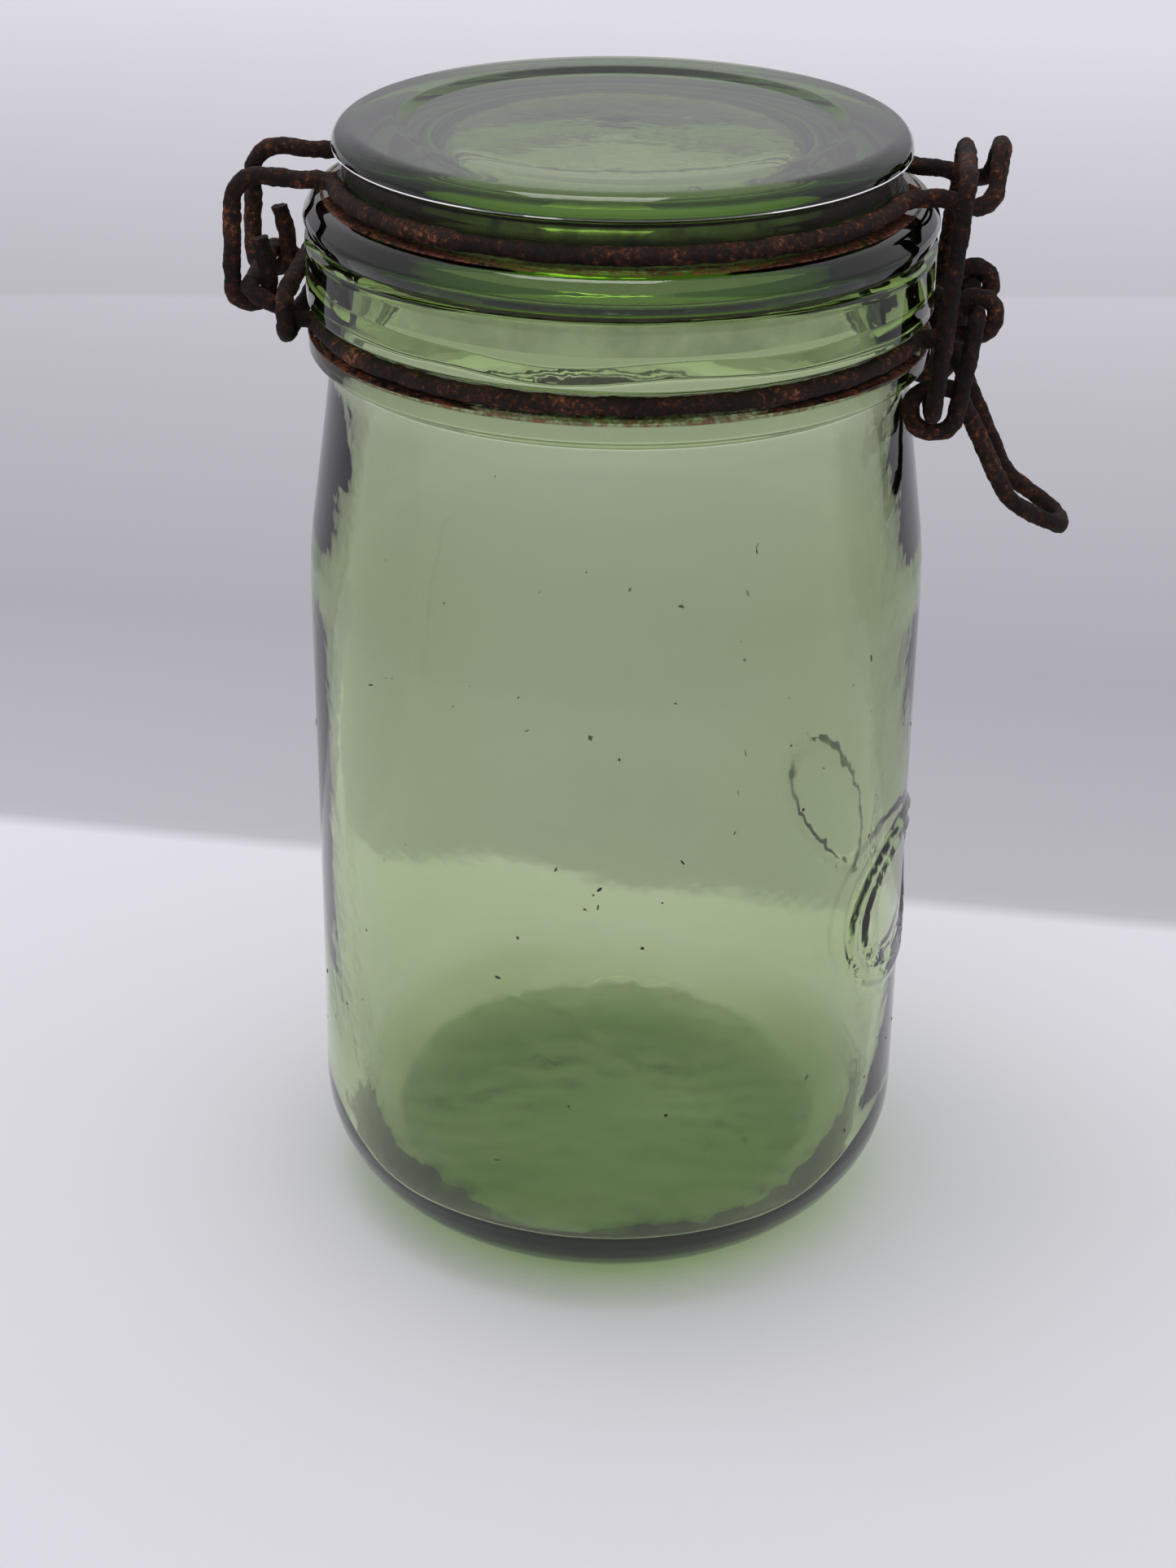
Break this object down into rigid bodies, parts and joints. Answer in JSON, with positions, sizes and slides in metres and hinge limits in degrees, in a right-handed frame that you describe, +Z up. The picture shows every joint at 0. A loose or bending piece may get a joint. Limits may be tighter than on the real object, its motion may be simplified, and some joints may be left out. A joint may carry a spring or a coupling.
{
  "type": "lidded glass canister",
  "caption": "Tall green glass canister with a glass lid, held shut by a rusty wire bail: hinge loop behind, link and over-centre lever in front.",
  "frame": {"origin": "centre of the jar's standing face, on the table plane", "axes": "+Z up along the jar's axis; the latch and its lever are on the +X side and the lid's hinge is on the -X side; +Y completes the right-handed frame"},
  "size_m": [0.1358, 0.1012, 0.19],
  "materials": {
    "green_glass": "pressed sage-green glass, slightly wavy",
    "perished_rubber": "dark, perished and dirty",
    "rusty_wire": "round steel wire with a dark, pitted crust of rust and orange patches"
  },
  "bodies": {
    "jar": {"jar_body": "green_glass", "neck_wire": "rusty_wire", "hinge_tie": "rusty_wire", "sealing_ring": "perished_rubber"},
    "lid": {"glass_lid": "green_glass", "lid_wire": "rusty_wire"},
    "lever": {"latch_lever": "rusty_wire"},
    "link": {"latch_link": "rusty_wire"}
  },
  "joints": [
    {"name": "lid_hinge", "type": "hinge", "parent": "jar", "child": "lid", "pos_m": [-0.0577, 0, 0.1646], "axis": [0, -1, 0], "range_deg": [0, 110]},
    {"name": "lever_pivot", "type": "hinge", "parent": "jar", "child": "lever", "pos_m": [0.0561, 0, 0.1628], "axis": [0, -1, 0], "range_deg": [0, 115]},
    {"name": "link_pivot", "type": "hinge", "parent": "lever", "child": "link", "pos_m": [0.0499, 0, 0.1488], "axis": [0, -1, 0], "range_deg": [-70.2, 0]}
  ],
  "couplings": [
    {"joint": "link_pivot", "follows": "lever_pivot", "ratio": -0.61}
  ]
}
